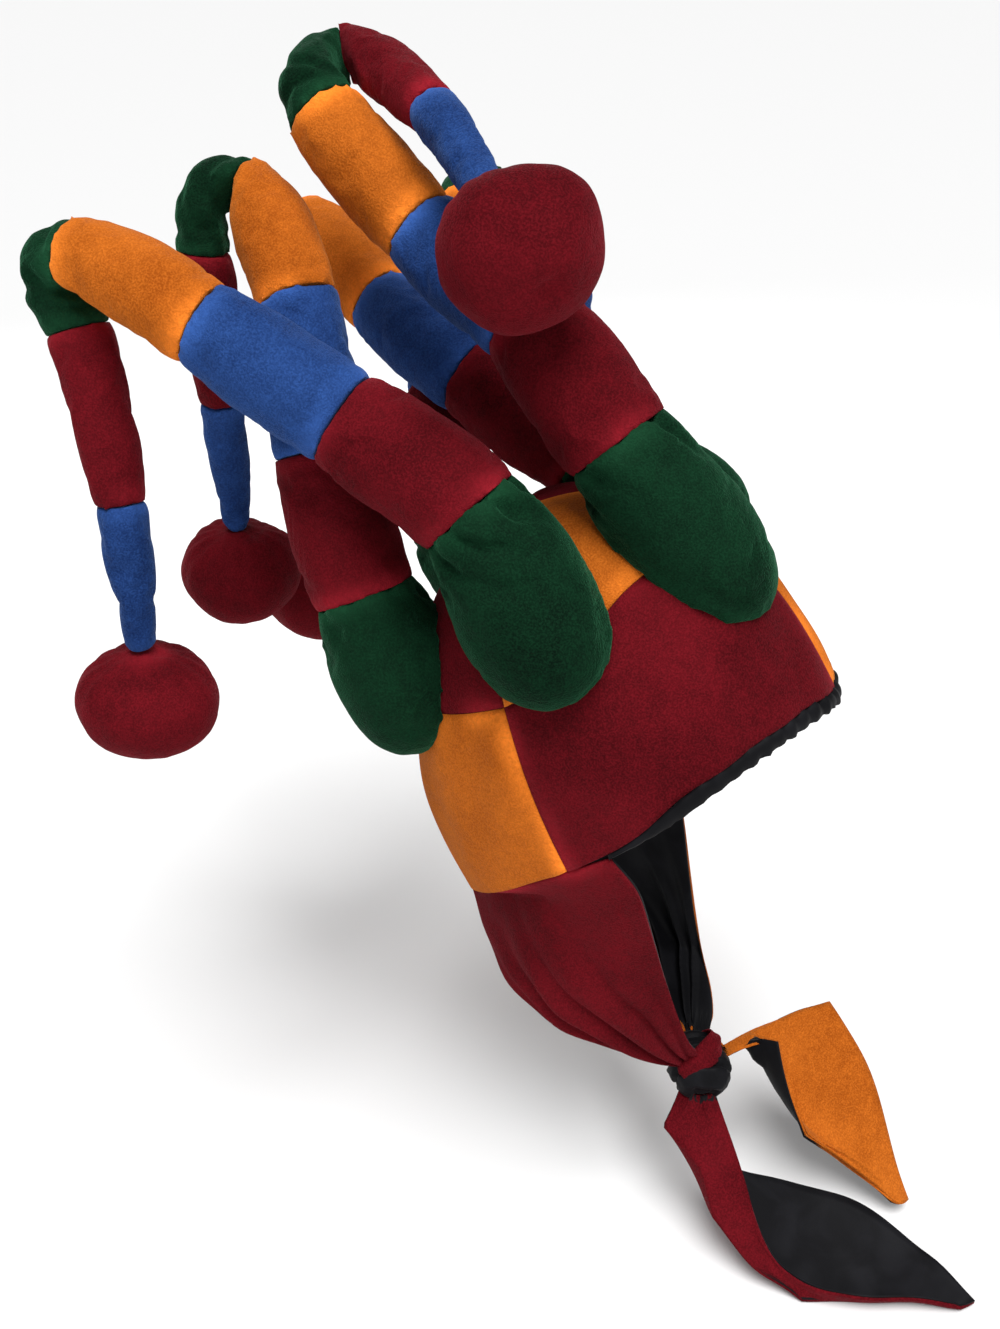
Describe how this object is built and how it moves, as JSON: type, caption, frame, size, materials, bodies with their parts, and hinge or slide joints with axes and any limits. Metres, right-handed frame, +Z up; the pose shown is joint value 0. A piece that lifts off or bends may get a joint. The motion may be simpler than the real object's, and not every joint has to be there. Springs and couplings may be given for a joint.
{
  "type": "jester hat",
  "caption": "Stuffed velvet jester hat with patchwork crown, drooping banded horns that end in balls, ear flaps and ties knotted under the chin.",
  "frame": {"origin": "centre of the head opening, level with the forehead edge, where the hat sits on a head", "axes": "+Z up, -Y the way the wearer faces, -X the wearer's right"},
  "size_m": [0.4079, 0.4849, 0.6011],
  "materials": {
    "red_velvet": "crimson velvet",
    "orange_velvet": "orange velvet",
    "blue_velvet": "royal blue velvet",
    "green_velvet": "dark green velvet",
    "black_lining": "black satin lining"
  },
  "bodies": {
    "root": {"front_right_lower": "red_velvet", "front_right_upper": "orange_velvet", "back_right_lower": "orange_velvet", "back_right_upper": "red_velvet", "back_left_lower": "red_velvet", "back_left_upper": "orange_velvet", "front_left_lower": "orange_velvet", "front_left_upper": "red_velvet", "crown_lining": "black_lining", "front_hem": "black_lining", "right_horn_root": "green_velvet", "right_horn_red": "red_velvet", "right_horn_blue": "blue_velvet", "right_horn_gold": "orange_velvet", "right_horn_fold": "green_velvet", "right_horn_low_red": "red_velvet", "right_horn_low_blue": "blue_velvet", "right_horn_ball": "red_velvet", "front_horn_root": "green_velvet", "front_horn_red": "red_velvet", "front_horn_blue": "blue_velvet", "front_horn_gold": "orange_velvet", "front_horn_fold": "green_velvet", "front_horn_low_red": "red_velvet", "front_horn_low_blue": "blue_velvet", "front_horn_ball": "red_velvet", "back_horn_root": "green_velvet", "back_horn_red": "red_velvet", "back_horn_blue": "blue_velvet", "back_horn_gold": "orange_velvet", "back_horn_fold": "green_velvet", "back_horn_low_red": "red_velvet", "back_horn_low_blue": "blue_velvet", "back_horn_ball": "red_velvet", "left_horn_root": "green_velvet", "left_horn_red": "red_velvet", "left_horn_blue": "blue_velvet", "left_horn_gold": "orange_velvet", "left_horn_fold": "green_velvet", "left_horn_low_red": "red_velvet", "left_horn_low_blue": "blue_velvet", "left_horn_ball": "red_velvet", "back_left_horn_root": "green_velvet", "back_left_horn_red": "red_velvet", "back_left_horn_blue": "blue_velvet", "back_left_horn_gold": "orange_velvet", "back_left_horn_fold": "green_velvet", "back_left_horn_low_red": "red_velvet", "back_left_horn_low_blue": "blue_velvet", "back_left_horn_ball": "red_velvet", "right_flap": "red_velvet", "right_flap_lining": "black_lining", "right_tail": "red_velvet", "right_tail_lining": "black_lining", "left_flap": "orange_velvet", "left_flap_lining": "black_lining", "left_tail": "orange_velvet", "left_tail_lining": "black_lining", "tie_knot": "black_lining"}
  },
  "joints": []
}
